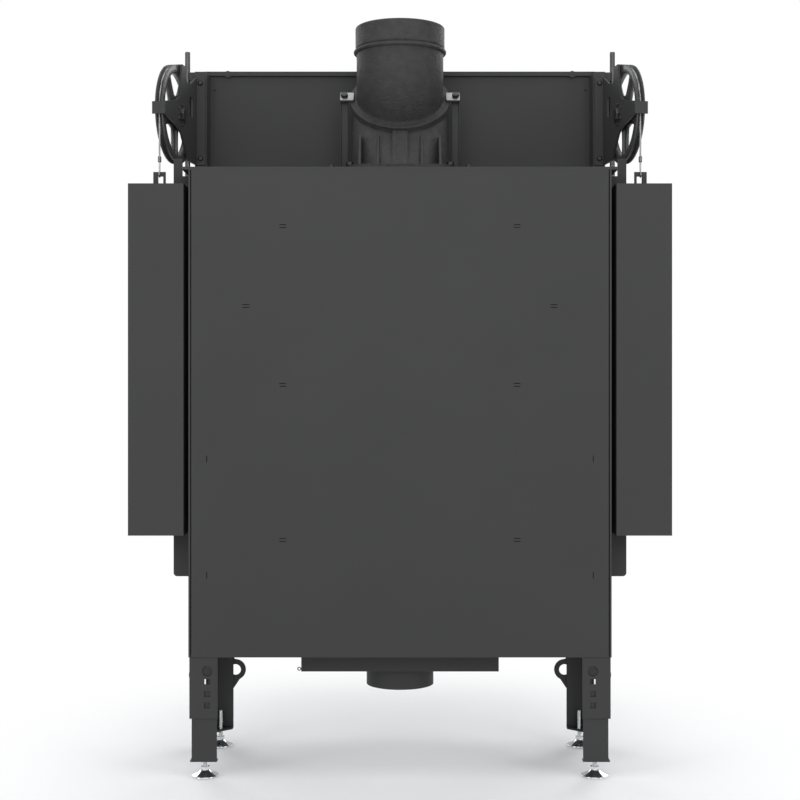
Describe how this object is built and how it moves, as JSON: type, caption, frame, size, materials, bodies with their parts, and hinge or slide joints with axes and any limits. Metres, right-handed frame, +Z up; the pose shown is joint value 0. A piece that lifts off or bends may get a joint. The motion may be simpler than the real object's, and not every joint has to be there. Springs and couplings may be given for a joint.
{
  "type": "fireplace insert",
  "caption": "Dark steel wood-burning fireplace insert with a rope-hung lifting glass door, side counterweights, a turnable flue elbow, an air box and height-adjustable legs.",
  "frame": {"origin": "centre of the bounding box on the floor under the levelling feet", "axes": "+Z up, -Y out of the door, +X to the right for someone facing the door"},
  "size_m": [1.157, 0.3943, 1.634],
  "materials": {
    "dark_paint": "matt dark grey paint",
    "cast_iron": "rough painted casting",
    "rope_steel": "bright stranded wire",
    "foot_zinc": "bright zinc plate",
    "clamp_steel": "bare pressed steel",
    "fireclay": "pale fired brick",
    "door_glass": "clear heat-proof glass",
    "seal_rope": "black braided glass-fibre rope",
    "guide_steel": "darkened steel rod",
    "raw_steel": "raw steel plate",
    "handle_steel": "satin steel",
    "axle_steel": "oiled steel",
    "pulley_grey": "dark grey moulded wheel",
    "dark_bolts": "blackened fasteners"
  },
  "bodies": {
    "root": {"air_box": "dark_paint", "air_spigot": "dark_paint", "baffle": "fireclay", "base_plate": "dark_paint", "casing_screws": "dark_bolts", "counterweight_guide_left": "dark_paint", "counterweight_guide_right": "dark_paint", "firebox_shell": "dark_paint", "flue_base": "cast_iron", "flue_bolts": "dark_bolts", "flue_clamps": "clamp_steel", "frame_bolts": "dark_bolts", "front_frame": "dark_paint", "guide_rods": "guide_steel", "hearth_bricks": "fireclay", "leg_inner_front_left": "dark_paint", "leg_inner_front_right": "dark_paint", "leg_inner_rear_left": "dark_paint", "leg_inner_rear_right": "dark_paint", "leg_sleeve_front_left": "dark_paint", "leg_sleeve_front_right": "dark_paint", "leg_sleeve_rear_left": "dark_paint", "leg_sleeve_rear_right": "dark_paint", "lift_post_left": "dark_paint", "lift_post_right": "dark_paint", "lift_wall_cap": "dark_paint", "lift_wall_panel": "dark_paint", "lining_rear": "fireclay", "lining_sides": "fireclay", "log_guard": "dark_paint", "pulley_axles": "axle_steel", "pulley_bracket_left": "dark_paint", "pulley_bracket_right": "dark_paint", "rear_panel": "dark_paint", "rope_front_left": "rope_steel", "rope_front_right": "rope_steel", "rope_over_pulley_left": "rope_steel", "rope_over_pulley_right": "rope_steel", "side_panel_left": "dark_paint", "side_panel_right": "dark_paint", "top_plate": "dark_paint"},
    "flue_elbow": {"flue_elbow": "cast_iron"},
    "pulley_left": {"pulley_left": "pulley_grey"},
    "pulley_right": {"pulley_right": "pulley_grey"},
    "counterweight_left": {"counterweight_left": "dark_paint", "ballast_left": "raw_steel", "rope_rear_left": "rope_steel"},
    "counterweight_right": {"counterweight_right": "dark_paint", "ballast_right": "raw_steel", "rope_rear_right": "rope_steel"},
    "door_carriage": {"door_carriage": "dark_paint"},
    "door_leaf": {"door_leaf": "dark_paint", "door_glass": "door_glass", "door_seal": "seal_rope", "door_handle": "handle_steel"},
    "air_damper": {"air_damper": "dark_paint"},
    "foot_rear_right": {"levelling_foot_rear_right": "foot_zinc"},
    "foot_rear_left": {"levelling_foot_rear_left": "foot_zinc"},
    "foot_front_right": {"levelling_foot_front_right": "foot_zinc"},
    "foot_front_left": {"levelling_foot_front_left": "foot_zinc"}
  },
  "joints": [
    {"name": "door_lift", "type": "slide", "parent": "root", "child": "door_carriage", "axis": [0, 0, 1], "range_m": [0, 0.48], "deforming": ["rope_front_left", "rope_front_right"]},
    {"name": "leaf_hinge", "type": "hinge", "parent": "door_carriage", "child": "door_leaf", "pos_m": [-0.4505, -0.16115, 0.56], "axis": [0, 0, -1], "range_deg": [0, 90]},
    {"name": "flue_turn", "type": "hinge", "parent": "root", "child": "flue_elbow", "pos_m": [0, -0.02216, 1.48], "axis": [0, 0.7071, 0.7071], "range_deg": [-180, 180]},
    {"name": "air_slide", "type": "slide", "parent": "root", "child": "air_damper", "axis": [1, 0, 0], "range_m": [0, 0.07]},
    {"name": "counterweight_right_slide", "type": "slide", "parent": "root", "child": "counterweight_right", "axis": [0, 0, -1], "range_m": [0, 0.48], "deforming": ["rope_rear_right"]},
    {"name": "pulley_right_turn", "type": "hinge", "parent": "root", "child": "pulley_right", "pos_m": [0.5, 0.05465, 1.4348], "axis": [-0.9876, 0.1573, 0], "range_deg": [0, 271.16]},
    {"name": "counterweight_left_slide", "type": "slide", "parent": "root", "child": "counterweight_left", "axis": [0, 0, -1], "range_m": [0, 0.48], "deforming": ["rope_rear_left"]},
    {"name": "pulley_left_turn", "type": "hinge", "parent": "root", "child": "pulley_left", "pos_m": [-0.5, 0.05465, 1.4348], "axis": [-0.9876, -0.1573, 0], "range_deg": [0, 271.16]},
    {"name": "foot_rear_right_height", "type": "slide", "parent": "root", "child": "foot_rear_right", "axis": [0, 0, -1], "range_m": [-0.012, 0.03]},
    {"name": "foot_rear_left_height", "type": "slide", "parent": "root", "child": "foot_rear_left", "axis": [0, 0, -1], "range_m": [-0.012, 0.03]},
    {"name": "foot_front_right_height", "type": "slide", "parent": "root", "child": "foot_front_right", "axis": [0, 0, -1], "range_m": [-0.012, 0.03]},
    {"name": "foot_front_left_height", "type": "slide", "parent": "root", "child": "foot_front_left", "axis": [0, 0, -1], "range_m": [-0.012, 0.03]}
  ],
  "couplings": [
    {"joint": "counterweight_right_slide", "follows": "door_lift", "ratio": 1},
    {"joint": "pulley_right_turn", "follows": "door_lift", "rad_per_m": 9.8232},
    {"joint": "counterweight_left_slide", "follows": "door_lift", "ratio": 1},
    {"joint": "pulley_left_turn", "follows": "door_lift", "rad_per_m": 9.8232}
  ]
}
